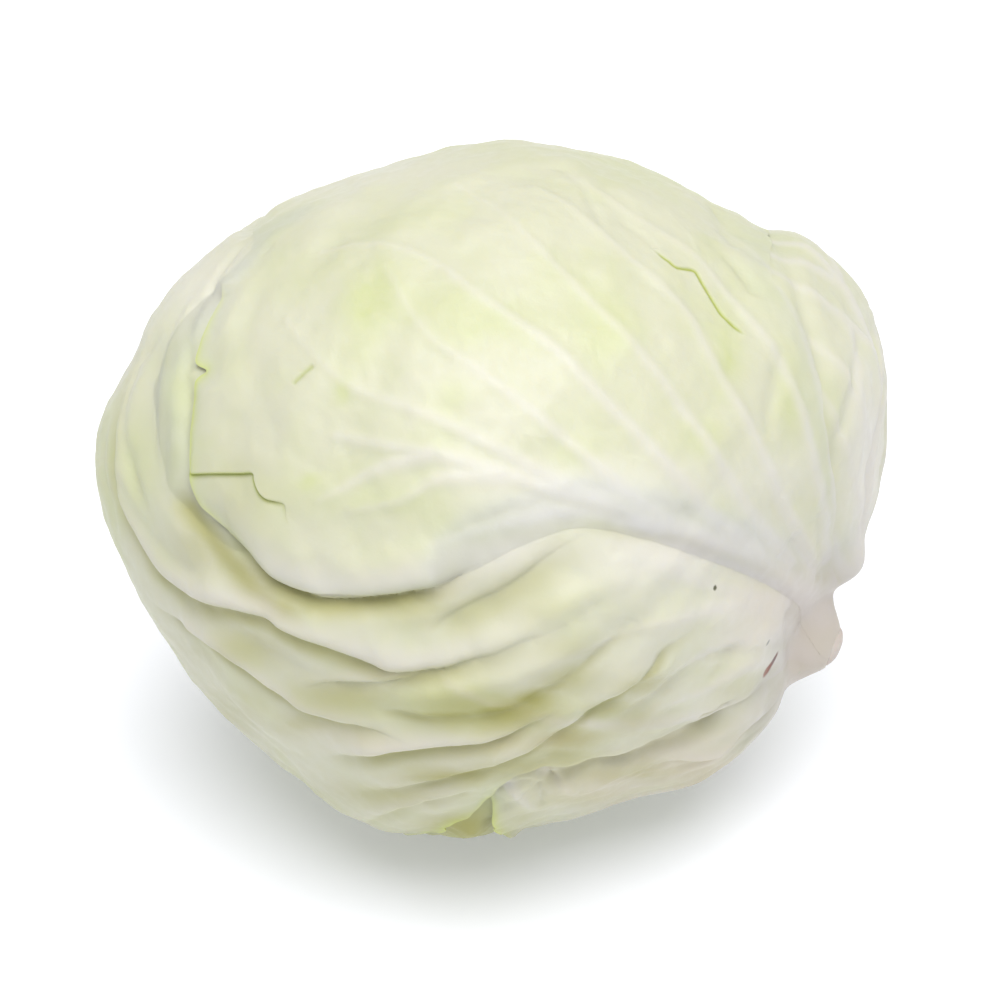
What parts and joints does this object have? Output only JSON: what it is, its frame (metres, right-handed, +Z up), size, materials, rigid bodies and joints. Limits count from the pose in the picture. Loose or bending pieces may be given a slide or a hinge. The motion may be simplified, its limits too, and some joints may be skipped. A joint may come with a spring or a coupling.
{
  "type": "green cabbage",
  "caption": "Whole round head of green cabbage lying on its side, with pale pleated outer leaves wrapped over a dense head and a cut stem stump.",
  "frame": {"origin": "centre of the bounding box in plan, on the surface that the head lies on", "axes": "+Z up; +X towards the side that the cut stem points to; -Y towards the side seen in front; the stem axis points to +X, a little to -Y and 19 degrees down"},
  "size_m": [0.1883, 0.178, 0.1678],
  "materials": {
    "stem": "matte cut plant stem",
    "inner_head": "waxy fresh leaf",
    "under_leaf": "waxy fresh leaf",
    "back_leaf": "waxy fresh leaf",
    "bottom_leaf": "waxy fresh leaf",
    "right_leaf": "waxy fresh leaf",
    "lower_leaf": "waxy fresh leaf",
    "second_leaf": "waxy fresh leaf",
    "front_leaf": "waxy fresh leaf"
  },
  "bodies": {
    "root": {"stem": "stem", "inner_head": "inner_head", "under_leaf": "under_leaf", "back_leaf": "back_leaf", "bottom_leaf": "bottom_leaf", "right_leaf": "right_leaf", "lower_leaf": "lower_leaf", "second_leaf": "second_leaf", "front_leaf": "front_leaf"}
  },
  "joints": []
}
